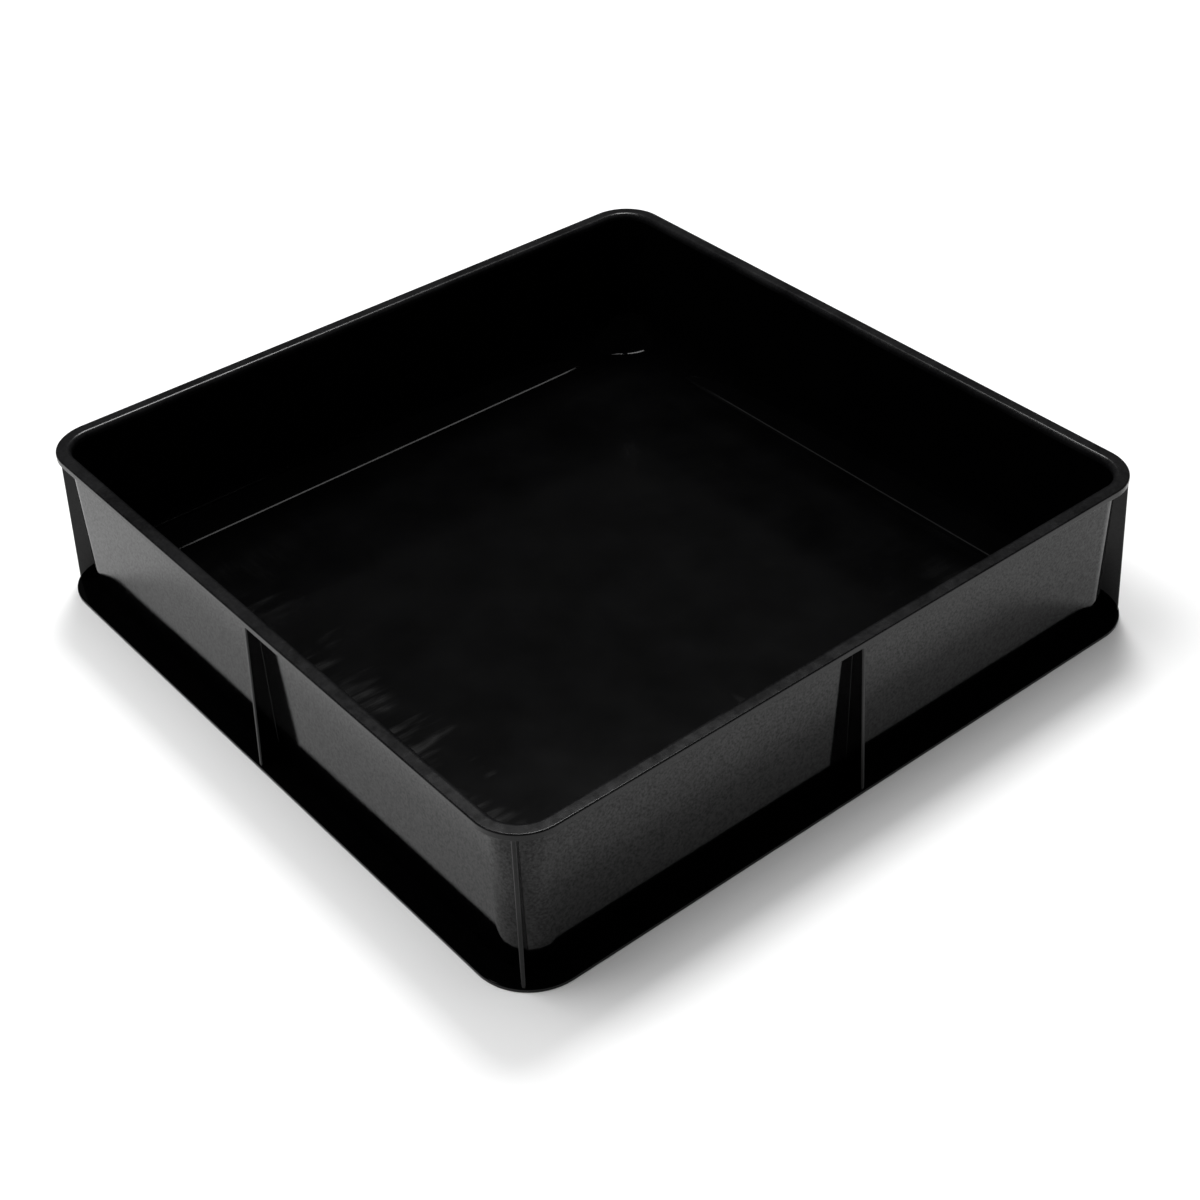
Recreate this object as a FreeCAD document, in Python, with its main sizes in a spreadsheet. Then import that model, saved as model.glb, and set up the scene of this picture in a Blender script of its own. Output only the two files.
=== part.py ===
import FreeCAD, Part
import math
import os
import re

import Sketcher

# A square mortar mixing tub, moulded in one piece, split into the features of its moulding.
# Millimetres. +Z is up, the underside is at z = 0 and the vertical middle axis is x = y = 0. The front is -Y.
# "Inset" means a distance inward from the outer face of the rim, so the foot flange, which stands out
# further than the rim, has a negative inset. Every upright corner shares one axis, corner_inset in from both faces.

DIMENSIONS = {
    "rim_width": 488.0,  # outer width of the rim, the same both ways
    "base_width": 500.0,  # outer width of the foot flange
    "tub_height": 108.0,
    "corner_inset": 30.0,  # inset of the four upright corner axes
    "rim_depth": 4.5,  # height of the rim's outer face
    "rim_outer_round": 1.0,
    "rim_inner_round": 3.2,
    "rim_lower_round": 0.6,
    "wall_inset_top": 7.4,  # inset of the wall's outer face under the rim
    "wall_inset_foot": 8.2,  # and at its foot, so the tub widens upwards
    "wall_thickness": 2.3,
    "floor_thickness": 3.0,
    "flange_thickness": 2.5,
    "flange_round": 0.8,
    "cove_radius": 24.0,  # from the walls down to the floor
    "cove_corner": 32.0,  # corner radius of the floor's flat middle
    "cove_reach": 68.0,  # inset where the cove's corners meet its straight lengths
    "cove_lip": 0.15,  # thickness of the cove's two edges, so that they don't taper to nothing
    "gusset_thickness": 2.8,
    "gusset_setback": 0.8,  # from the flange's edge to the gusset's foot
}

RIM_TOP = "tub_height"
RIM_UNDERSIDE = "tub_height - rim_depth"
INNER_FOOT = "wall_inset_foot + wall_thickness"
INNER_TOP = "wall_inset_top + wall_thickness"
FLANGE_EDGE = "(rim_width - base_width) / 2"
COVE_TOP = "floor_thickness + cove_radius"
COVE_WALL = f"{INNER_FOOT} + (wall_inset_top - wall_inset_foot) * cove_radius / ({RIM_UNDERSIDE} - floor_thickness)"

# Cross-sections, as (inset, height) corners. Each makes a straight piece and a corner piece.
WALL_SECTION = [
    ("wall_inset_foot", "0"),
    ("wall_inset_foot", "flange_thickness"),
    ("wall_inset_top", RIM_UNDERSIDE),
    (INNER_TOP, RIM_UNDERSIDE),
    (INNER_FOOT, "floor_thickness"),
    (INNER_FOOT, "0"),
]
RIM_SECTION = [
    ("0", RIM_UNDERSIDE),
    ("0", RIM_TOP),
    (INNER_TOP, RIM_TOP),
    (INNER_TOP, RIM_UNDERSIDE),
]
COVE_SECTION = [
    (INNER_FOOT, "floor_thickness"),
    (COVE_WALL, COVE_TOP),
    (f"{COVE_WALL} + cove_lip", COVE_TOP),
    (f"{COVE_WALL} + cove_radius", "floor_thickness + cove_lip"),
    (f"{COVE_WALL} + cove_radius", "floor_thickness"),
]
COVE_ARC = 2  # the edge of the cove's section that is an arc, counted from 0
FLANGE_SECTION = [
    (FLANGE_EDGE, "0"),
    (FLANGE_EDGE, "flange_thickness"),
    ("wall_inset_foot", "flange_thickness"),
    ("wall_inset_foot", "0"),
]
# Rounded edges, as (inset, height, radius).
RIM_ROUNDS = [
    ("0", RIM_TOP, "rim_outer_round"),
    (INNER_TOP, RIM_TOP, "rim_inner_round"),
    ("0", RIM_UNDERSIDE, "rim_lower_round"),
]
FLANGE_ROUNDS = [(FLANGE_EDGE, "flange_thickness", "flange_round")]

# The front side and the back right corner are the ones drawn. The others are turned copies, in degrees.
SIDES = {"front": 0, "right": 90, "back": 180, "left": 270}
CORNERS = {"back_right": 0, "back_left": 90, "front_left": 180, "front_right": 270}

COVE_LEVELS = 9  # outlines lofted into a corner of the cove
TOUCH = 1e-4  # millimetres within which two points are the same

doc = FreeCAD.newDocument("mortar_tub")
sheet = doc.addObject("Spreadsheet::Sheet", "size")
for row, (alias, number) in enumerate(DIMENSIONS.items(), start=1):
    sheet.set(f"A{row}", alias)
    sheet.set(f"B{row}", str(number))
    sheet.setAlias(f"B{row}", alias)
doc.recompute()


def cells(text):
    """The expression with the sheet's name in front of each of its aliases."""
    return re.sub(r"[a-z_]\w*", lambda word: f"size.{word.group()}", text)


def value(text):
    """The expression's value, in millimetres."""
    return float(sheet.evalExpression(cells(text)))


def new_body(label):
    body = doc.addObject("PartDesign::Body", label)
    body.Label = label
    return body


def new_sketch(body, plane):
    """An empty sketch on one of the body's own origin planes, such as XZ_Plane."""
    sketch = body.newObject("Sketcher::SketchObject", body.Name + "_sketch")
    support = next(item for item in body.Origin.OriginFeatures if item.Role == plane)
    sketch.AttachmentSupport = [(support, "")]
    sketch.MapMode = "FlatFace"
    return sketch


def arc_points(start, end, radius, shares):
    """Points at these shares of the way along a short arc from start, turning left, to end."""
    chord = end - start
    left = FreeCAD.Vector(-chord.y, chord.x, 0).normalize()
    centre = (start + end) / 2 + left * math.sqrt(radius**2 - (chord.Length / 2) ** 2)
    turn = 2 * math.degrees(math.asin(chord.Length / 2 / radius))
    axis = FreeCAD.Vector(0, 0, 1)
    return [centre + FreeCAD.Rotation(axis, share * turn).multVec(start - centre) for share in shares]


def pin_point(sketch, edge, across, up):
    """Holds an edge's first point at two expressions, measured from the sketch's origin."""
    for kind, text in (("DistanceX", across), ("DistanceY", up)):
        index = sketch.addConstraint(Sketcher.Constraint(kind, -1, 1, edge, 1, value(text)))
        sketch.setExpression(f"Constraints[{index}]", cells(text))


def draw_outline(sketch, corners, arc=None, radius=None):
    """A closed outline. Each corner is a pair of expressions. One numbered edge can be an arc that hollows it."""
    points = [FreeCAD.Vector(value(across), value(up), 0) for across, up in corners]
    for edge, (start, end) in enumerate(zip(points, points[1:] + points[:1])):
        if edge == arc:
            sketch.addGeometry(Part.Arc(*arc_points(start, end, value(radius), (0, 0.5, 1))))
        else:
            sketch.addGeometry(Part.LineSegment(start, end))
    for edge, (across, up) in enumerate(corners):
        sketch.addConstraint(Sketcher.Constraint("Coincident", edge, 2, (edge + 1) % len(corners), 1))
        pin_point(sketch, edge, across, up)
    if radius:
        index = sketch.addConstraint(Sketcher.Constraint("Radius", arc, value(radius)))
        sketch.setExpression(f"Constraints[{index}]", cells(radius))
    doc.recompute()


def pad(body, sketch, length, both_ways=True):
    feature = body.newObject("PartDesign::Pad", body.Name + "_pad")
    feature.Profile = sketch
    feature.SideType = "Symmetric" if both_ways else "One side"
    feature.setExpression("Length", cells(length))
    doc.recompute()
    return feature


def round_edges(body, base, rounds, offset_of):
    """Rounds each edge whose two ends are at the given offset and height."""
    for number, (offset, height, radius) in enumerate(rounds):
        names = []
        for index, edge in enumerate(base.Shape.Edges, start=1):
            ends = [vertex.Point for vertex in edge.Vertexes]
            at_offset = all(abs(offset_of(end) - value(offset)) < TOUCH for end in ends)
            at_height = all(abs(end.z - value(height)) < TOUCH for end in ends)
            if at_offset and at_height:
                names.append(f"Edge{index}")
        feature = body.newObject("PartDesign::Fillet", f"{body.Name}_round_{number}")
        feature.Base = (base, names)
        feature.setExpression("Radius", cells(radius))
        doc.recompute()
        base = feature


def front_offset(text):
    """A front side's inset, as a Y coordinate."""
    return f"{text} - rim_width / 2"


def corner_offset(text):
    """A corner's inset, as a radius from the corner's axis."""
    return f"corner_inset - ({text})"


def turn_side(body, angle):
    body.Placement = FreeCAD.Placement(FreeCAD.Vector(), FreeCAD.Rotation(FreeCAD.Vector(0, 0, 1), angle))


def turn_corner(body, angle, extra=0):
    """Moves a corner, drawn about its own axis, to the corner that is this angle round from the back right."""
    spin = FreeCAD.Rotation(FreeCAD.Vector(0, 0, 1), angle)
    away = spin.multVec(FreeCAD.Vector(1, 1, 0))
    body.Placement = FreeCAD.Placement(FreeCAD.Vector(), FreeCAD.Rotation(FreeCAD.Vector(0, 0, 1), angle + extra))
    for axis, sign in (("x", round(away.x)), ("y", round(away.y))):
        body.setExpression(f"Placement.Base.{axis}", cells(f"{sign} * (rim_width / 2 - corner_inset)"))


def straight_piece(label, section, rounds, angle):
    """A length of the section along one side, between the two corner axes."""
    body = new_body(label)
    sketch = new_sketch(body, "YZ_Plane")
    draw_outline(sketch, [(front_offset(inset), height) for inset, height in section])
    base = pad(body, sketch, "rim_width - 2 * corner_inset")
    front_rounds = [(front_offset(inset), height, radius) for inset, height, radius in rounds]
    round_edges(body, base, front_rounds, lambda point: point.y)
    turn_side(body, angle)
    return body


def corner_piece(label, section, rounds, angle):
    """A quarter turn of the section about a corner's axis."""
    body = new_body(label)
    sketch = new_sketch(body, "XZ_Plane")
    draw_outline(sketch, [(corner_offset(inset), height) for inset, height in section])
    base = body.newObject("PartDesign::Revolution", label + "_turn")
    base.Profile = sketch
    base.ReferenceAxis = (sketch, ["V_Axis"])
    base.Angle = 90
    doc.recompute()
    corner_rounds = [(corner_offset(inset), height, radius) for inset, height, radius in rounds]
    round_edges(body, base, corner_rounds, lambda point: math.hypot(point.x, point.y))
    turn_corner(body, angle)
    return body


def floor_plate():
    """The flat floor, out to the walls."""
    body = new_body("floor_plate")
    sketch = new_sketch(body, "XY_Plane")
    reach = f"rim_width / 2 - ({INNER_FOOT})"
    signs = ((-1, -1), (1, -1), (1, 1), (-1, 1))
    draw_outline(sketch, [(f"{across} * ({reach})", f"{up} * ({reach})") for across, up in signs])
    base = pad(body, sketch, "floor_thickness", both_ways=False)
    upright = []
    for index, edge in enumerate(base.Shape.Edges, start=1):
        if abs(edge.BoundBox.ZLength - value("floor_thickness")) < TOUCH:
            upright.append(f"Edge{index}")
    rounding = body.newObject("PartDesign::Fillet", "floor_plate_corners")
    rounding.Base = (base, upright)
    rounding.setExpression("Radius", cells(corner_offset(INNER_FOOT)))
    doc.recompute()
    return body


def gusset(label, angle):
    """An upright web in the middle of one side, from the rim's edge out to the flange's edge."""
    body = new_body(label)
    sketch = new_sketch(body, "YZ_Plane")
    corners = [
        (front_offset("wall_inset_foot"), "flange_thickness"),
        (front_offset(f"{FLANGE_EDGE} + gusset_setback"), "flange_thickness"),
        (front_offset("0"), RIM_UNDERSIDE),
        (front_offset("wall_inset_top"), RIM_UNDERSIDE),
    ]
    draw_outline(sketch, corners)
    pad(body, sketch, "gusset_thickness")
    turn_side(body, angle)
    return body


def corner_gusset(label, angle):
    """The same web on a corner, across the diagonal. Its inner edge is cut to the round of the wall."""
    body = new_body(label)
    sketch = new_sketch(body, "XZ_Plane")
    wall_foot = corner_offset("wall_inset_foot")
    wall_top = corner_offset("wall_inset_top")
    web = [
        (f"{wall_foot} - wall_thickness", "flange_thickness"),
        (corner_offset(f"{FLANGE_EDGE} + gusset_setback"), "flange_thickness"),
        (corner_offset("0"), RIM_UNDERSIDE),
        (f"{wall_foot} - wall_thickness", RIM_UNDERSIDE),
    ]
    draw_outline(sketch, web)
    pad(body, sketch, "gusset_thickness")
    core = new_sketch(body, "XZ_Plane")
    inside = [
        ("0", "flange_thickness"),
        (wall_foot, "flange_thickness"),
        (wall_top, RIM_UNDERSIDE),
        ("0", RIM_UNDERSIDE),
    ]
    draw_outline(core, inside)
    groove = body.newObject("PartDesign::Groove", label + "_groove")
    groove.Profile = core
    groove.ReferenceAxis = (core, ["V_Axis"])
    groove.Angle = 360
    doc.recompute()
    turn_corner(body, angle, extra=45)
    return body


def straight_cove(label, angle):
    """A length of the cove along one side, between its corners."""
    body = new_body(label)
    sketch = new_sketch(body, "YZ_Plane")
    section = [(front_offset(inset), height) for inset, height in COVE_SECTION]
    draw_outline(sketch, section, COVE_ARC, "cove_radius")
    pad(body, sketch, "rim_width - 2 * cove_reach")
    turn_side(body, angle)
    return body


def wall_inner_inset(height):
    """Inset of the wall's inner face at a height above the floor."""
    share = (height - value("floor_thickness")) / value(f"{RIM_UNDERSIDE} - floor_thickness")
    return value(INNER_FOOT) + share * value("wall_inset_top - wall_inset_foot")


def cove_outline(inset, radius, wall_inset, wall_radius, height):
    """One level of a corner of the cove: the strip between the wall and the cove, round the corner's axis."""
    axis = value("corner_inset")
    reach = value("cove_reach")

    def at(inset_x, inset_y):
        return FreeCAD.Vector(axis - inset_x, axis - inset_y, height)

    def rounded(edge_inset, edge_radius):
        middle = edge_inset + edge_radius
        half = middle - edge_radius / math.sqrt(2)
        first = Part.LineSegment(at(reach, edge_inset), at(middle, edge_inset))
        bend = Part.Arc(at(middle, edge_inset), at(half, half), at(edge_inset, middle))
        last = Part.LineSegment(at(edge_inset, middle), at(edge_inset, reach))
        return [curve.toShape() for curve in (first, bend, last)]

    outer = rounded(wall_inset, wall_radius)
    inner = rounded(inset, radius)
    ends = [
        Part.LineSegment(at(wall_inset, reach), at(inset, reach)).toShape(),
        Part.LineSegment(at(reach, inset), at(reach, wall_inset)).toShape(),
    ]
    return Part.Wire(Part.__sortEdges__(outer + inner + ends))


def corner_cove(label, angle):
    """A corner of the cove. Its corner radius grows from the wall's to the floor's on the way down."""
    top, bottom = (
        FreeCAD.Vector(value(inset), value(height), 0)
        for inset, height in COVE_SECTION[COVE_ARC : COVE_ARC + 2]
    )
    shares = [level / (COVE_LEVELS - 1) for level in range(COVE_LEVELS)]
    outlines = []
    for share, point in zip(shares, arc_points(top, bottom, value("cove_radius"), shares)):
        wall_inset = wall_inner_inset(point.y)
        wall_radius = value("corner_inset") - wall_inset
        growth = 1 - math.cos(share * math.pi / 2)
        radius = wall_radius + (value("cove_corner") - wall_radius) * growth
        outlines.append(cove_outline(point.x, radius, wall_inset, wall_radius, point.y))
    curved = Part.makeLoft(outlines, True, False)
    edge = Part.Face(outlines[-1]).extrude(FreeCAD.Vector(0, 0, -value("cove_lip")))
    cove = doc.addObject("Part::Feature", label)
    cove.Shape = curved.fuse(edge).removeSplitter()
    turn_corner(cove, angle)
    return cove


parts = [floor_plate()]
for side, angle in SIDES.items():
    parts.append(straight_piece(f"wall_{side}", WALL_SECTION, [], angle))
    parts.append(straight_piece(f"rim_{side}", RIM_SECTION, RIM_ROUNDS, angle))
    parts.append(straight_piece(f"foot_flange_{side}", FLANGE_SECTION, FLANGE_ROUNDS, angle))
    parts.append(straight_cove(f"cove_{side}", angle))
    parts.append(gusset(f"gusset_{side}", angle))
for corner, angle in CORNERS.items():
    parts.append(corner_piece(f"wall_corner_{corner}", WALL_SECTION, [], angle))
    parts.append(corner_piece(f"rim_corner_{corner}", RIM_SECTION, RIM_ROUNDS, angle))
    parts.append(corner_piece(f"foot_flange_corner_{corner}", FLANGE_SECTION, FLANGE_ROUNDS, angle))
    parts.append(corner_cove(f"cove_corner_{corner}", angle))
    parts.append(corner_gusset(f"gusset_corner_{corner}", angle))
doc.recompute()

for item in doc.Objects:
    if {"Invalid", "Error"} & set(item.State):
        raise RuntimeError(f"{item.Label} did not build: {item.State}")
os.makedirs("parts", exist_ok=True)
for part in parts:
    shape = part.Shape
    if shape.isNull() or not shape.isValid() or len(shape.Solids) != 1:
        raise RuntimeError(f"{part.Label} is not one valid solid")
    print(f"{part.Label:34s} {shape.Volume / 1000:9.3f} cm3")
    shape.exportStep(f"parts/{part.Label}.step")
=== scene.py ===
import math

import bmesh
import bpy
import numpy as np
from mathutils import Euler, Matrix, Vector, noise

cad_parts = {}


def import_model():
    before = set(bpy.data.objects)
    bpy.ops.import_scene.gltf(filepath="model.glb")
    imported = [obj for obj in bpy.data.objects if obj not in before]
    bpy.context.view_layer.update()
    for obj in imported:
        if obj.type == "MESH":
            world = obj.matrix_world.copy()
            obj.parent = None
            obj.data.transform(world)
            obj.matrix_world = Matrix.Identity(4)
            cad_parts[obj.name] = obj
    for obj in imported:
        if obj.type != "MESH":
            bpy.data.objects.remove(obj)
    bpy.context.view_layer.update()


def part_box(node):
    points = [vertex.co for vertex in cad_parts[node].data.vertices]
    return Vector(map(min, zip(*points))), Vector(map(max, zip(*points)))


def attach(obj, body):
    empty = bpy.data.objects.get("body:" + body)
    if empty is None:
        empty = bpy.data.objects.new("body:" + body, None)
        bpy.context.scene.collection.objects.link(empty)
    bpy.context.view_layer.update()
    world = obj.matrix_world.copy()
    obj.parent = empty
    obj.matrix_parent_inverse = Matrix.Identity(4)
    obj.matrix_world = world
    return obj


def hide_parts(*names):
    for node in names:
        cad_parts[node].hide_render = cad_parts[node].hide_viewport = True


# The looks of a moulded mortar mixing tub, in metres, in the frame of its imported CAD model: +Z is up, the front
# is -Y, and the underside is at z = 0. "Inset" is a distance inward from the outer face of the rim, so the foot
# flange, which stands out further than the rim, has a negative inset.

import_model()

SIDES = {"front": -90, "right": 0, "back": 90, "left": 180}  # the way each faces, in degrees
CORNERS = {"back_right": 45, "back_left": 135, "front_left": 225, "front_right": 315}

# ---- sizes read from the CAD model ----
RIM_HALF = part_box("rim_right")[1].x
CORNER_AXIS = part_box("rim_corner_back_right")[0].x
CORNER_INSET = RIM_HALF - CORNER_AXIS
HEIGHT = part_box("rim_right")[1].z
RIM_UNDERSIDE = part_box("rim_right")[0].z
FLANGE_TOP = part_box("foot_flange_right")[1].z
FLOOR_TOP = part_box("floor_plate")[1].z
COVE_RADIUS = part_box("cove_right")[1].z - FLOOR_TOP
GUSSET_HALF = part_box("gusset_right")[1].y
FLANGE_EDGE = RIM_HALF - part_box("foot_flange_right")[1].x
GUSSET_FOOT = RIM_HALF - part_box("gusset_right")[1].x
WALL_OUTER_TOP = RIM_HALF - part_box("wall_right")[1].x
WALL_OUTER_FOOT = RIM_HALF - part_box("foot_flange_right")[0].x
WALL_INNER_TOP = RIM_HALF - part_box("rim_right")[0].x
WALL_INNER_FOOT = RIM_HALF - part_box("floor_plate")[1].x

# ---- sizes that only the looks have ----
RIM_OUTER_ROUND = 0.0010
RIM_INNER_ROUND = 0.0032
RIM_LOWER_ROUND = 0.0006
FLANGE_ROUND = 0.0008
FOOT_ROUND = 0.0004
GUSSET_ROUND = 0.0010
ROOT_FILLET = 0.00025  # where two parts of the moulding meet at an inside angle
COVE_FOOT = 0.0251  # inset of the line low on the cove where its corner radius is COVE_CORNER
COVE_CORNER = 0.031
COVE_CORNER_SLOPE = 1.3  # how fast that radius shrinks further inward
COVE_BLEND = 0.5  # the share of the way down by which the corner has left the wall's radius
SINK = 0.00001  # how far a fillet's end lies below its neighbour's surface, so that the two don't coincide
TUCK = 0.0006  # how far a piece's hidden edge goes into its neighbour
GUSSET_TOP_SINK = 0.00005  # how far behind the rim's face a gusset's hidden top lies
FLOOR_RIPPLE = 0.00015  # height of the floor's slow unevenness
FLOOR_RIPPLE_SIZE = 1 / 9
FLOOR_RIPPLE_EDGE = 0.25  # the share of the way to the middle over which it grows from nothing
GATE_RADIUS, GATE_DEPTH = 0.007, 0.0008  # the moulding gate's dimple, in the middle of the underside
GATE_BEVEL = 1.2  # how much wider the dimple is at its mouth
GATE_STUB = 0.0024
GATE_ROUND = 0.95  # corner radius of the dimple's rings as a share of their half width
UNDERSIDE_ROUND = 0.0155  # corner radius of the ring half way across the underside

# ---- how finely the meshes are divided ----
CORNER_STEPS = 24
STRAIGHT_STEPS = 24
ROUND_STEPS = 6
COVE_STEPS = 20
WALL_STEPS = 6
FLOOR_STEPS = 40
GUSSET_STEPS = 6
SHARP_ANGLE = math.radians(35)  # faces that meet at more than this show an edge
FLATNESS = 90  # how much the large faces outweigh the small ones in the shading, of 100

# =========================================== the tub's meshes ===========================================


def wall_outer(z):
    """Inset of the wall's outer face at a height."""
    return float(np.interp(z, (FLANGE_TOP, RIM_UNDERSIDE), (WALL_OUTER_FOOT, WALL_OUTER_TOP)))


def wall_inner(z):
    """Inset of the wall's inner face at a height."""
    return float(np.interp(z, (FLOOR_TOP, RIM_UNDERSIDE), (WALL_INNER_FOOT, WALL_INNER_TOP)))


def ring(inset, z, radius=None):
    """Points anticlockwise round a square with rounded corners, which share the tub's corner axes by default."""
    if radius is None:
        radius = CORNER_INSET - inset
    centre = RIM_HALF - inset - radius
    quarter = np.linspace(0, math.pi / 2, CORNER_STEPS + 1)
    corner = centre + radius * np.column_stack([np.cos(quarter), np.sin(quarter)])
    shares = np.arange(1, STRAIGHT_STEPS)[:, None] / STRAIGHT_STEPS
    side = corner[-1] - shares * np.array([2 * centre, 0.0])
    stretch = np.concatenate([corner, side])
    turned = []
    for _ in range(4):
        turned.append(stretch)
        stretch = np.column_stack([-stretch[:, 1], stretch[:, 0]])
    flat = np.concatenate(turned)
    return np.column_stack([flat, np.full(len(flat), z)])


def rounded_path(corners):
    """Points along a path whose corners, each (across, up, radius), are rounded. A radius of 0 leaves a corner."""
    path = []
    for index, (across, up, radius) in enumerate(corners):
        here = Vector((across, up))
        if not radius:
            path.append(here)
            continue
        before = (Vector(corners[index - 1][:2]) - here).normalized()
        after = (Vector(corners[(index + 1) % len(corners)][:2]) - here).normalized()
        half = before.angle(after) / 2
        centre = here + (before + after).normalized() * radius / math.sin(half)
        first = here + before * radius / math.tan(half) - centre
        last = here + after * radius / math.tan(half) - centre
        for step in range(ROUND_STEPS + 1):
            share = step / ROUND_STEPS
            path.append(centre + first.slerp(last, share) * radius)
    return path


def skin(rings, looped):
    """Faces between neighbouring rings of points, numbered in order. Looped joins the last ring to the first."""
    count = len(rings[0])
    faces = []
    for level in range(len(rings) if looped else len(rings) - 1):
        near = level * count
        far = (level + 1) % len(rings) * count
        for step in range(count):
            after = (step + 1) % count
            faces.append((near + step, near + after, far + after, far + step))
    return faces


def new_piece(name, points, faces, materials, replaced):
    """A smooth-shaded mesh that rides with the tub and stands for CAD nodes."""
    mesh = bpy.data.meshes.new(name)
    mesh.from_pydata([tuple(point) for point in points], [], faces)
    work = bmesh.new()
    work.from_mesh(mesh)
    bmesh.ops.recalc_face_normals(work, faces=work.faces)
    work.to_mesh(mesh)
    work.free()
    mesh.polygons.foreach_set("use_smooth", [True] * len(mesh.polygons))
    mesh.set_sharp_from_angle(angle=SHARP_ANGLE)
    for material in materials:
        mesh.materials.append(material)
    piece = bpy.data.objects.new(name, mesh)
    bpy.context.scene.collection.objects.link(piece)
    flatter = piece.modifiers.new("weighted_normals", "WEIGHTED_NORMAL")
    flatter.keep_sharp = True
    flatter.weight = FLATNESS
    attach(piece, "root")
    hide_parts(*replaced)
    return piece


def nodes_of(*families):
    """The CAD nodes of some families, such as wall, on all the sides and corners."""
    sides = [f"{family}_{side}" for family in families for side in SIDES]
    corners = [f"{family}_corner_{corner}" for family in families for corner in CORNERS]
    return sides + corners


def underside_rings():
    """From the gate's stub in the middle of the underside out to the wall's foot."""
    gate = [
        (GATE_STUB, GATE_DEPTH / 2),
        (GATE_STUB, GATE_DEPTH),
        (GATE_RADIUS, GATE_DEPTH),
        (GATE_RADIUS * GATE_BEVEL, 0),
    ]
    rings = [ring(RIM_HALF - half, z, half * GATE_ROUND) for half, z in gate]
    return rings + [ring(RIM_HALF / 2, 0, UNDERSIDE_ROUND), ring(WALL_OUTER_FOOT, 0)]


def cove_rings():
    """The cove, from the wall down to the floor. Its corner radius grows below the wall, then shrinks."""
    top = FLOOR_TOP + COVE_RADIUS
    lean = math.atan2(WALL_INNER_FOOT - WALL_INNER_TOP, RIM_UNDERSIDE - FLOOR_TOP)
    centre = wall_inner(top) + COVE_RADIUS / math.cos(lean)
    rings = []
    for step in range(COVE_STEPS + 1):
        share = step / COVE_STEPS
        angle = lean + share * (math.pi / 2 - lean)
        inset = centre - COVE_RADIUS * math.cos(angle)
        z = top - COVE_RADIUS * math.sin(angle)
        wall_radius = CORNER_INSET - wall_inner(z)
        foot_radius = COVE_CORNER + COVE_CORNER_SLOPE * (COVE_FOOT - inset)
        part = min(1, share / COVE_BLEND)
        eased = part * part * (3 - 2 * part)
        rings.append(ring(inset, z, wall_radius + (foot_radius - wall_radius) * eased))
    return rings


def floor_rings(edge):
    """The floor inside the cove's last ring, with the slow unevenness of a thin moulding."""
    rings = []
    for step in range(1, FLOOR_STEPS):
        share = 1 - step / FLOOR_STEPS
        points = edge.copy()
        points[:, :2] *= share
        height = FLOOR_RIPPLE * min(1, (1 - share) / FLOOR_RIPPLE_EDGE)
        for point in points:
            place = Vector((point[0], point[1], FLOOR_RIPPLE_SIZE / 2)) / FLOOR_RIPPLE_SIZE
            point[2] += height * noise.noise(place)
        rings.append(points)
    return rings


def basin(outside_material, inside_material):
    """The walls and the floor: up the outside, down the inside, and across the floor to its middle."""
    rising = np.linspace(FLANGE_TOP, RIM_UNDERSIDE, WALL_STEPS + 1)
    falling = np.linspace(RIM_UNDERSIDE, FLOOR_TOP + COVE_RADIUS, WALL_STEPS + 1)
    cove = cove_rings()
    outside = underside_rings() + [ring(wall_outer(z), z) for z in rising]
    inside = [ring(wall_inner(z), z) for z in falling] + cove[1:] + floor_rings(cove[-1])
    rings = outside + inside
    faces = skin(rings, looped=False)
    points = list(np.concatenate(rings))
    count = len(rings[0])
    last = len(points) - count
    for first, direction in ((0, -1), (last, 1)):
        hub = len(points)
        points.append(np.mean(points[first : first + count], axis=0))
        for step in range(count):
            edge = (first + step, first + (step + 1) % count)[::direction]
            faces.append((*edge, hub))
    materials = (outside_material, inside_material)
    piece = new_piece("basin", points, faces, materials, ["floor_plate"] + nodes_of("wall", "cove"))
    bands = [0] * len(outside) + [1] * (len(inside) - 1) + [0, 1]  # which material each round of faces has
    piece.data.polygons.foreach_set("material_index", np.repeat(bands, count))
    return piece


def rim(material):
    """The rim, whose root fillet runs down onto the wall's outer face."""
    root = RIM_UNDERSIDE - 2 * ROOT_FILLET
    wall = WALL_OUTER_TOP + SINK
    section = [
        (wall + TUCK, root, 0),
        (wall, root, 0),
        (wall, RIM_UNDERSIDE, ROOT_FILLET),
        (0, RIM_UNDERSIDE, RIM_LOWER_ROUND),
        (0, HEIGHT, RIM_OUTER_ROUND),
        (WALL_INNER_TOP, HEIGHT, RIM_INNER_ROUND),
        (WALL_INNER_TOP, RIM_UNDERSIDE, 0),
        (wall + TUCK, RIM_UNDERSIDE, 0),
    ]
    rings = [ring(inset, z) for inset, z in rounded_path(section)]
    return new_piece("rim", np.concatenate(rings), skin(rings, looped=True), (material,), nodes_of("rim"))


def foot_flange(material):
    """The flange round the foot, whose root fillet runs up onto the wall's outer face."""
    root = FLANGE_TOP + 2 * ROOT_FILLET
    wall = wall_outer(root) + SINK
    section = [
        (WALL_OUTER_FOOT, 0, 0),
        (FLANGE_EDGE, 0, FOOT_ROUND),
        (FLANGE_EDGE, FLANGE_TOP, FLANGE_ROUND),
        (wall, FLANGE_TOP, ROOT_FILLET),
        (wall, root, 0),
        (wall + TUCK, root, 0),
        (wall + TUCK, TUCK, 0),
        (WALL_OUTER_FOOT, TUCK, 0),
    ]
    rings = [ring(inset, z) for inset, z in rounded_path(section)]
    faces = skin(rings, looped=True)
    return new_piece("foot_flange", np.concatenate(rings), faces, (material,), nodes_of("foot_flange"))


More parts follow.
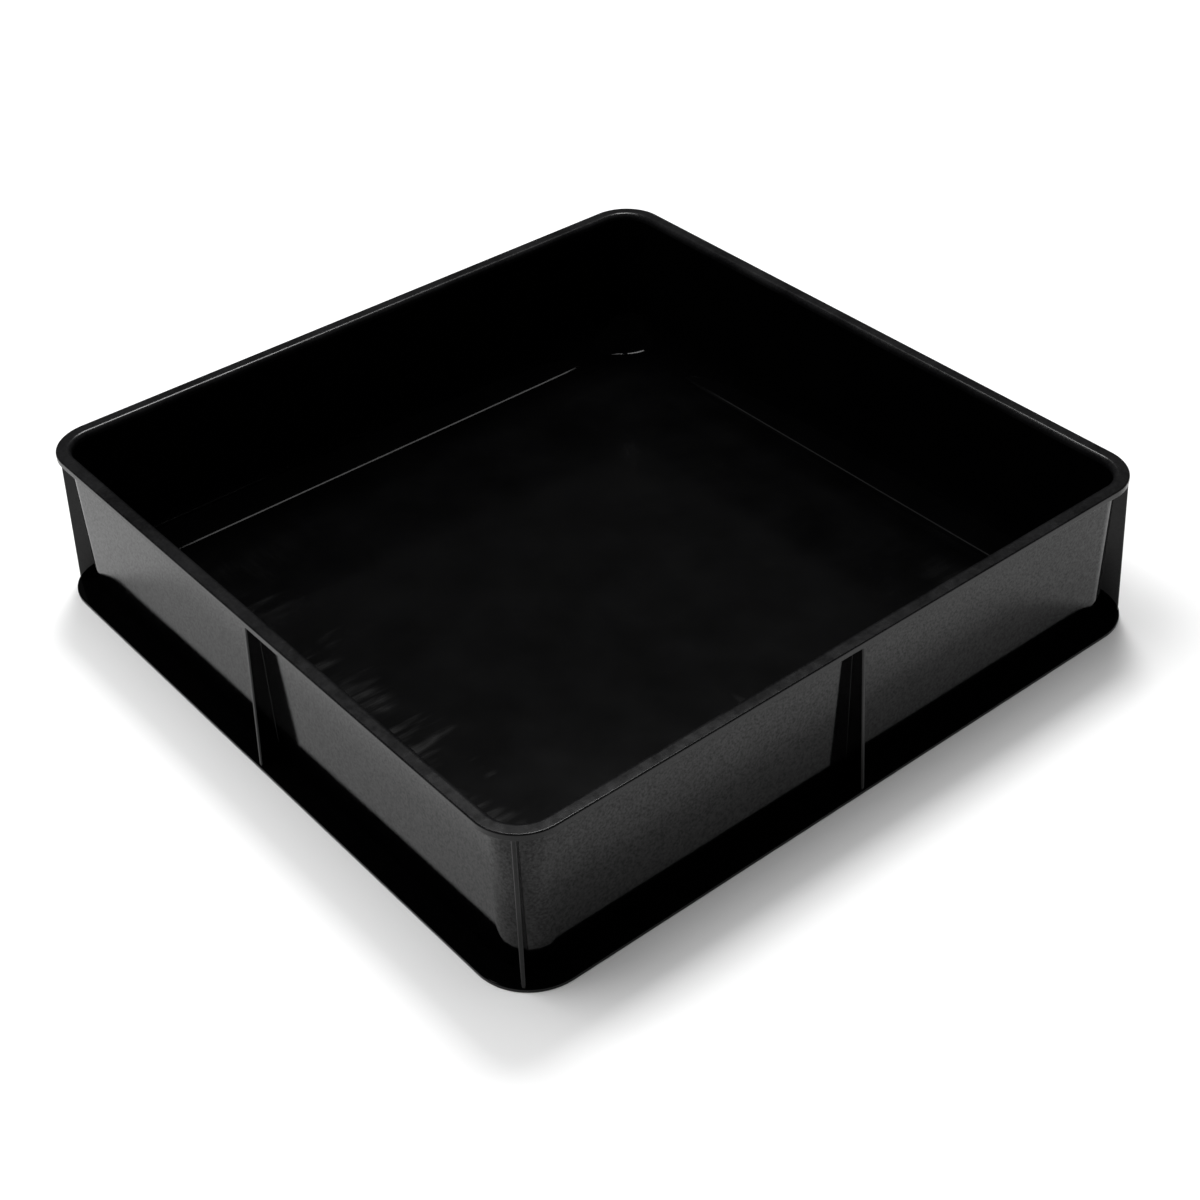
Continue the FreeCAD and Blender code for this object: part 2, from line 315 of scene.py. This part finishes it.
def gusset_section(z, curve):
    """(inset, sideways) points round a gusset at a height. Curve is the wall's radius there, or 0 if it is flat."""
    end = max(0, min(z - FLANGE_TOP, RIM_UNDERSIDE - z, ROOT_FILLET))
    flare = ROOT_FILLET - math.sqrt(ROOT_FILLET**2 - (ROOT_FILLET - end) ** 2)
    half = GUSSET_HALF + flare
    wall = wall_outer(z) + SINK
    heights = (FLANGE_TOP, RIM_UNDERSIDE, RIM_UNDERSIDE + TUCK)
    edge = float(np.interp(z, heights, (GUSSET_FOOT, 0, GUSSET_TOP_SINK)))
    wide = half + 2 * ROOT_FILLET
    path = rounded_path([
        (wall + TUCK, -wide, 0),
        (wall, -wide, 0),
        (wall, -half, ROOT_FILLET),
        (edge, -half, GUSSET_ROUND),
        (edge, half, GUSSET_ROUND),
        (wall, half, ROOT_FILLET),
        (wall, wide, 0),
        (wall + TUCK, wide, 0),
    ])
    if curve:
        return [(inset + curve - math.sqrt(curve**2 - side**2), side) for inset, side in path]
    return [(inset, side) for inset, side in path]


def gusset(name, heading, foot, material):
    """An upright web that stands out from the wall. Foot is the point below it that its insets are counted from."""
    turn = math.radians(heading)
    out = np.array([math.cos(turn), math.sin(turn)])
    left = np.array([-out[1], out[0]])
    on_corner = bool(np.any(foot))
    reach = CORNER_INSET if on_corner else RIM_HALF
    fine = np.linspace(0, ROOT_FILLET, GUSSET_STEPS + 1)
    low = FLANGE_TOP + fine
    high = RIM_UNDERSIDE - fine[::-1]
    between = np.linspace(low[-1], high[0], GUSSET_STEPS)[1:-1]
    levels = [FLANGE_TOP - TUCK, *low, *between, *high, RIM_UNDERSIDE + TUCK]
    rings = []
    for z in levels:
        curve = CORNER_INSET - wall_outer(z) if on_corner else 0
        flat = [foot + out * (reach - inset) + left * side for inset, side in gusset_section(z, curve)]
        rings.append(np.column_stack([flat, np.full(len(flat), z)]))
    count = len(rings[0])
    faces = skin(rings, looped=False)
    faces.append(tuple(range(count)))
    faces.append(tuple(range(len(levels) * count - count, len(levels) * count)))
    return new_piece(name, np.concatenate(rings), faces, (material,), [name])


def gussets(material):
    for side, heading in SIDES.items():
        gusset(f"gusset_{side}", heading, np.zeros(2), material)
    for corner, heading in CORNERS.items():
        turn = math.radians(heading)
        foot = CORNER_AXIS * math.sqrt(2) * np.array([math.cos(turn), math.sin(turn)])
        gusset(f"gusset_corner_{corner}", heading, foot, material)


# =========================================== materials ===========================================


class Shader:
    """A material whose nodes are added by name."""

    def __init__(self, name):
        self.material = bpy.data.materials.new(name)
        self.material.use_nodes = True
        self.tree = self.material.node_tree
        self.tree.nodes.clear()
        self.place = self.add("ShaderNodeTexCoord").outputs["Object"]

    def feed(self, socket, content):
        """Gives a socket a value or another node's output."""
        if isinstance(content, bpy.types.NodeSocket):
            self.tree.links.new(content, socket)
        else:
            socket.default_value = content

    def add(self, kind, settings=None, **sockets):
        """A node. Settings are its properties."""
        node = self.tree.nodes.new(kind)
        for key, content in (settings or {}).items():
            setattr(node, key, content)
        for key, content in sockets.items():
            self.feed(node.inputs[key.replace("_", " ")], content)
        return node

    def clouds(self, size, detail=2.0, stretch=(1, 1, 1), roughness=0.5):
        """Noise from 0 to 1 whose features are about this size in metres."""
        place = self.place
        if stretch != (1, 1, 1):
            place = self.add("ShaderNodeMapping", Vector=place, Scale=stretch).outputs["Vector"]
        made = self.add("ShaderNodeTexNoise", Vector=place, Scale=1 / size, Detail=detail, Roughness=roughness)
        return made.outputs["Fac"]

    def between(self, factor, low, high, start=0.3, end=0.7):
        """Low to high, as the factor goes from start to end."""
        made = self.add("ShaderNodeMapRange", Value=factor, From_Min=start, From_Max=end, To_Min=low, To_Max=high)
        return made.outputs["Result"]

    def combine(self, operation, *operands):
        made = self.add("ShaderNodeMath", {"operation": operation})
        for socket, content in zip(made.inputs, operands):
            self.feed(socket, content)
        return made.outputs["Value"]

    def mix(self, factor, low, high):
        made = self.add("ShaderNodeMix", {"data_type": "FLOAT"})
        for socket, content in zip((made.inputs[0], made.inputs[2], made.inputs[3]), (factor, low, high)):
            self.feed(socket, content)
        return made.outputs[0]

    def near_edge(self, axis):
        """1 near the tub's sides across this axis, and 0 in its middle."""
        place = self.add("ShaderNodeSeparateXYZ", Vector=self.place).outputs[axis]
        return self.between(self.combine("ABSOLUTE", place), 0, 1, *STROKE_EDGE)

    def tint(self, factor, dark, light):
        made = self.add("ShaderNodeMix", {"data_type": "RGBA"})
        self.tree.links.new(factor, made.inputs[0])
        made.inputs[6].default_value = (*dark, 1)
        made.inputs[7].default_value = (*light, 1)
        return made.outputs[2]

    def bump(self, height, depth, under=None):
        """A normal from a height of 0 to 1 that stands for this depth in metres."""
        made = self.add("ShaderNodeBump", Height=height, Distance=depth, Strength=1.0)
        if under is not None:
            self.tree.links.new(under, made.inputs["Normal"])
        return made.outputs["Normal"]

    def finish(self, **sockets):
        surface = self.add("ShaderNodeBsdfPrincipled", **sockets)
        output = self.add("ShaderNodeOutputMaterial")
        self.tree.links.new(surface.outputs["BSDF"], output.inputs["Surface"])
        return self.material


# ---- sizes of the plastic's marks, in metres ----
HANDLED = 0.045  # patches that hands have dulled
GRAIN = 0.0016  # the moulded grain
FINE_GRAIN = 0.0009  # and its polished remains inside
RIPPLE = 0.10  # the slow unevenness of a moulding's faces
SCUFF = 0.005
PATCH = 0.035
STROKE, STROKE_STRETCH = 0.006, 0.14  # the width of a scraped stroke, and how much its noise is stretched

RIPPLE_DEPTH = 0.0002
OUTSIDE_GRAIN_DEPTH = 0.000020
WEB_GRAIN_DEPTH = 0.000004
INSIDE_GRAIN_DEPTH = 0.000006
RIM_GRAIN_DEPTH = 0.000014
SCUFF_DEPTH = 0.000012

# ---- colours ----
BLACK = (0.0005, 0.0005, 0.00055)
WORN_BLACK = (0.0010, 0.0010, 0.0011)
# The rim's two colours sit well above the other blacks: partly scuffed wear, partly a painted sheen for the light
# that the rim catches.
RIM_BLACK = (0.003, 0.003, 0.0032)
RIM_SHEEN_AND_WEAR_GREY = (0.009, 0.009, 0.0094)
STAGE_WHITE = (0.86, 0.86, 0.86, 1)
STUDIO_DARK = (0.01, 0.01, 0.01, 1)

PLASTIC_IOR = 1.31
SHEEN = 0.5  # the mean specular level
SCRAPED_ROUGHNESS = 0.36
STROKE_EDGE = (RIM_HALF * 0.35, RIM_HALF * 0.75)  # strokes start to show this far out, and are full this far out
STROKE_FRONT = RIM_HALF * 0.4  # x + y, at which they are full toward the front and gone toward the back
FLOOR_BLEND = (FLOOR_TOP + COVE_RADIUS * 0.005, FLOOR_TOP + COVE_RADIUS * 0.05)  # heights, from floor to wall


def black_plastic(name, gloss, dull, grain_depth, ripple_depth, fleck):
    """Moulded black plastic. Gloss and dull are the roughness of its cleanest and its most handled places.

    The grain makes its sheen, and not only its normal, a little uneven. Fleck is how far the sheen varies.
    """
    shader = Shader(name)
    handled = shader.clouds(HANDLED, detail=4)
    grain = shader.clouds(GRAIN, detail=3, roughness=0.7)
    normal = shader.bump(shader.clouds(RIPPLE, detail=1), ripple_depth)
    normal = shader.bump(grain, grain_depth, normal)
    colour = shader.tint(shader.between(grain, 0, 1, 0.45, 0.65), BLACK, WORN_BLACK)
    sheen = shader.between(grain, SHEEN - fleck, SHEEN + fleck, 0.35, 0.65)
    return shader.finish(
        Base_Color=colour,
        Roughness=shader.between(handled, gloss, dull),
        Specular_IOR_Level=sheen,
        Normal=normal,
        IOR=PLASTIC_IOR,
    )


def scraped_strokes(shader, parts):
    """1 on the faint strokes scraped into the floor near its front edges, square to the edge, and 0 elsewhere."""
    along_x = shader.clouds(STROKE, 2, (STROKE_STRETCH, 1, 1))
    along_y = shader.clouds(STROKE, 2, (1, STROKE_STRETCH, 1))
    along_x = shader.combine("MULTIPLY", along_x, shader.near_edge("X"))
    along_y = shader.combine("MULTIPLY", along_y, shader.near_edge("Y"))
    strokes = shader.between(shader.combine("MAXIMUM", along_x, along_y), 0, 1, 0.36, 0.60)
    patches = shader.between(shader.clouds(PATCH, detail=2), 0, 1, 0.42, 0.60)
    diagonal = shader.combine("ADD", parts["X"], parts["Y"])
    front = shader.between(diagonal, 1, 0, -STROKE_FRONT, STROKE_FRONT)
    return shader.combine("MULTIPLY", shader.combine("MULTIPLY", strokes, patches), front)


def inside_plastic():
    """The inside of the tub: glossy walls, and a floor that is duller, with faint strokes scraped near its edges."""
    shader = Shader("inside_plastic")
    handled = shader.clouds(HANDLED, detail=4)
    parts = shader.add("ShaderNodeSeparateXYZ", Vector=shader.place).outputs
    wall = shader.between(handled, 0.05, 0.08)
    base = shader.mix(scraped_strokes(shader, parts), shader.between(handled, 0.15, 0.18), SCRAPED_ROUGHNESS)
    roughness = shader.mix(shader.between(parts["Z"], 1, 0, *FLOOR_BLEND), wall, base)
    normal = shader.bump(shader.clouds(RIPPLE, detail=1), RIPPLE_DEPTH)
    normal = shader.bump(shader.clouds(FINE_GRAIN, detail=1), INSIDE_GRAIN_DEPTH, normal)
    colour = shader.tint(shader.between(handled, 0, 1), BLACK, WORN_BLACK)
    return shader.finish(Base_Color=colour, Roughness=roughness, Normal=normal, IOR=PLASTIC_IOR)


def rim_plastic():
    """The rim, painted a lighter grey than the rest of the tub: partly the scuffs of hands, trowels and stacked
    tubs, partly a painted sheen that stands in for the light the rim's top catches.
    """
    shader = Shader("rim_plastic")
    handled = shader.clouds(0.04, detail=4)
    grain = shader.clouds(GRAIN, detail=2)
    scuffs = shader.clouds(SCUFF, detail=3)
    normal = shader.bump(grain, RIM_GRAIN_DEPTH, shader.bump(scuffs, SCUFF_DEPTH))
    # Painted sheen mixed with wear: the grey lifts the whole rim, standing in partly for the light it reflects.
    wear_and_painted_sheen = shader.between(shader.mix(0.35, handled, grain), 0, 1, 0.38, 0.62)
    colour = shader.tint(wear_and_painted_sheen, RIM_BLACK, RIM_SHEEN_AND_WEAR_GREY)
    roughness = shader.between(scuffs, 0.20, 0.28)
    return shader.finish(Base_Color=colour, Roughness=roughness, Normal=normal, IOR=PLASTIC_IOR)


# =========================================== studio ===========================================

# The camera looks at this point, from this way round, above the horizon, tilted and far off.
CAMERA_AIM = (-0.0271, -0.0757, 0.0540)
CAMERA_AZIMUTH, CAMERA_ELEVATION, CAMERA_TILT = -39.056, 37.715, -1.815
CAMERA_DISTANCE = 1.2440
CAMERA_LENS, CAMERA_SENSOR = 61.80, 36.0  # millimetres
CAMERA_SHIFT = -0.025
CAMERA_CLIP = (0.01, 50)

# Soft boxes that face straight down: place, size, radiance and turn in degrees. The key and the strips are placed
# so that the walls hide the key from the coves, which mirror the strips as fine lines low on the tub's inside.
OVERHEAD_BOXES = {
    "key": ((1.38, 1.50, 4.0), (0.95, 1.15), 33.0, 0),
    "strip_along_x": ((1.01, 0.46, 2.0), (0.92, 0.14), 3.3, 0),
    "strip_along_y": ((0.24, 1.30, 2.0), (0.12, 0.85), 0.5, 0),
    "strip_over_corner": ((-0.08, 0.70, 2.0), (0.95, 0.10), 9.0, -5),
    "fill": ((0, 0, 4.0), (3.0, 3.0), 3.2, 0),
}
# Soft boxes that face the tub: azimuth, elevation, distance, size and radiance. The floor mirrors the backdrop.
FACING_BOXES = {
    "backdrop": (141, 38, 5.0, (4.0, 3.0), 0.040),
    "left_fill": (-140, 60, 5.0, (3.0, 3.0), 4.5),
}
UNMIRRORED = ("fill", "left_fill")
STAGE_HALF = 12.0


def look(thing, place, aim, tilt=0.0):
    """Puts a thing in its place, with its -Z axis at the aim and its X axis level but for the tilt, in degrees."""
    away = Vector(place) - Vector(aim)
    spin = away.to_track_quat("Z", "Y") @ Euler((0, 0, math.radians(tilt))).to_quaternion()
    thing.location = place
    thing.rotation_mode = "QUATERNION"
    thing.rotation_quaternion = spin


def on_sphere(aim, azimuth, elevation, distance):
    """A point this far from the aim. Azimuth 0 is in front and 90 is on the right."""
    turn, rise = math.radians(azimuth), math.radians(elevation)
    way = Vector((math.sin(turn) * math.cos(rise), -math.cos(turn) * math.cos(rise), math.sin(rise)))
    return Vector(aim) + way * distance


def camera():
    data = bpy.data.cameras.new("camera")
    data.lens = CAMERA_LENS
    data.sensor_width = CAMERA_SENSOR
    data.shift_x = CAMERA_SHIFT
    data.clip_start, data.clip_end = CAMERA_CLIP
    thing = bpy.data.objects.new("camera", data)
    bpy.context.scene.collection.objects.link(thing)
    place = on_sphere(CAMERA_AIM, CAMERA_AZIMUTH, CAMERA_ELEVATION, CAMERA_DISTANCE)
    look(thing, place, CAMERA_AIM, CAMERA_TILT)
    bpy.context.scene.camera = thing


def area_light(name, azimuth, elevation, distance, size, radiance):
    """A square soft box that faces the tub. Radiance is how bright its face looks, where white paper is about 1."""
    data = bpy.data.lights.new(name, "AREA")
    data.shape = "RECTANGLE"
    data.size, data.size_y = size
    data.energy = radiance * math.pi * size[0] * size[1]
    thing = bpy.data.objects.new(name, data)
    bpy.context.scene.collection.objects.link(thing)
    look(thing, on_sphere((0, 0, 0), azimuth, elevation, distance), (0, 0, 0))
    return thing


def overhead_box(name, place, size, radiance, turn):
    """A soft box that faces straight down."""
    thing = area_light(name, 0, 90, 1, size, radiance)
    thing.rotation_quaternion = Euler((0, 0, math.radians(turn))).to_quaternion()
    thing.location = place
    return thing


def lights():
    boxes = [overhead_box(name, *settings) for name, settings in OVERHEAD_BOXES.items()]
    boxes += [area_light(name, *settings) for name, settings in FACING_BOXES.items()]
    for box in boxes:
        box.visible_glossy = box.name not in UNMIRRORED


def world():
    """A dark studio."""
    made = bpy.data.worlds.new("studio")
    made.use_nodes = True
    made.node_tree.nodes["Background"].inputs["Color"].default_value = STUDIO_DARK
    bpy.context.scene.world = made


def studio_floor():
    """A pale, plain tabletop under the tub."""
    shader = Shader("pale_floor")
    material = shader.finish(Base_Color=STAGE_WHITE, Roughness=0.9, IOR=1.3)
    corners = [(x * STAGE_HALF, y * STAGE_HALF, 0) for x, y in ((-1, -1), (1, -1), (1, 1), (-1, 1))]
    mesh = bpy.data.meshes.new("studio_floor")
    mesh.from_pydata(corners, [], [(0, 1, 2, 3)])
    mesh.materials.append(material)
    thing = bpy.data.objects.new("studio_floor", mesh)
    bpy.context.scene.collection.objects.link(thing)


# =========================================== the scene ===========================================

camera()
world()
lights()
studio_floor()
outside_plastic = black_plastic("outside_plastic", 0.055, 0.085, OUTSIDE_GRAIN_DEPTH, RIPPLE_DEPTH, 0.22)
web_plastic = black_plastic("web_plastic", 0.05, 0.08, WEB_GRAIN_DEPTH, 0, 0.05)
basin(outside_plastic, inside_plastic())
rim(rim_plastic())
foot_flange(web_plastic)
gussets(web_plastic)
bpy.context.scene.view_settings.view_transform = "Standard"
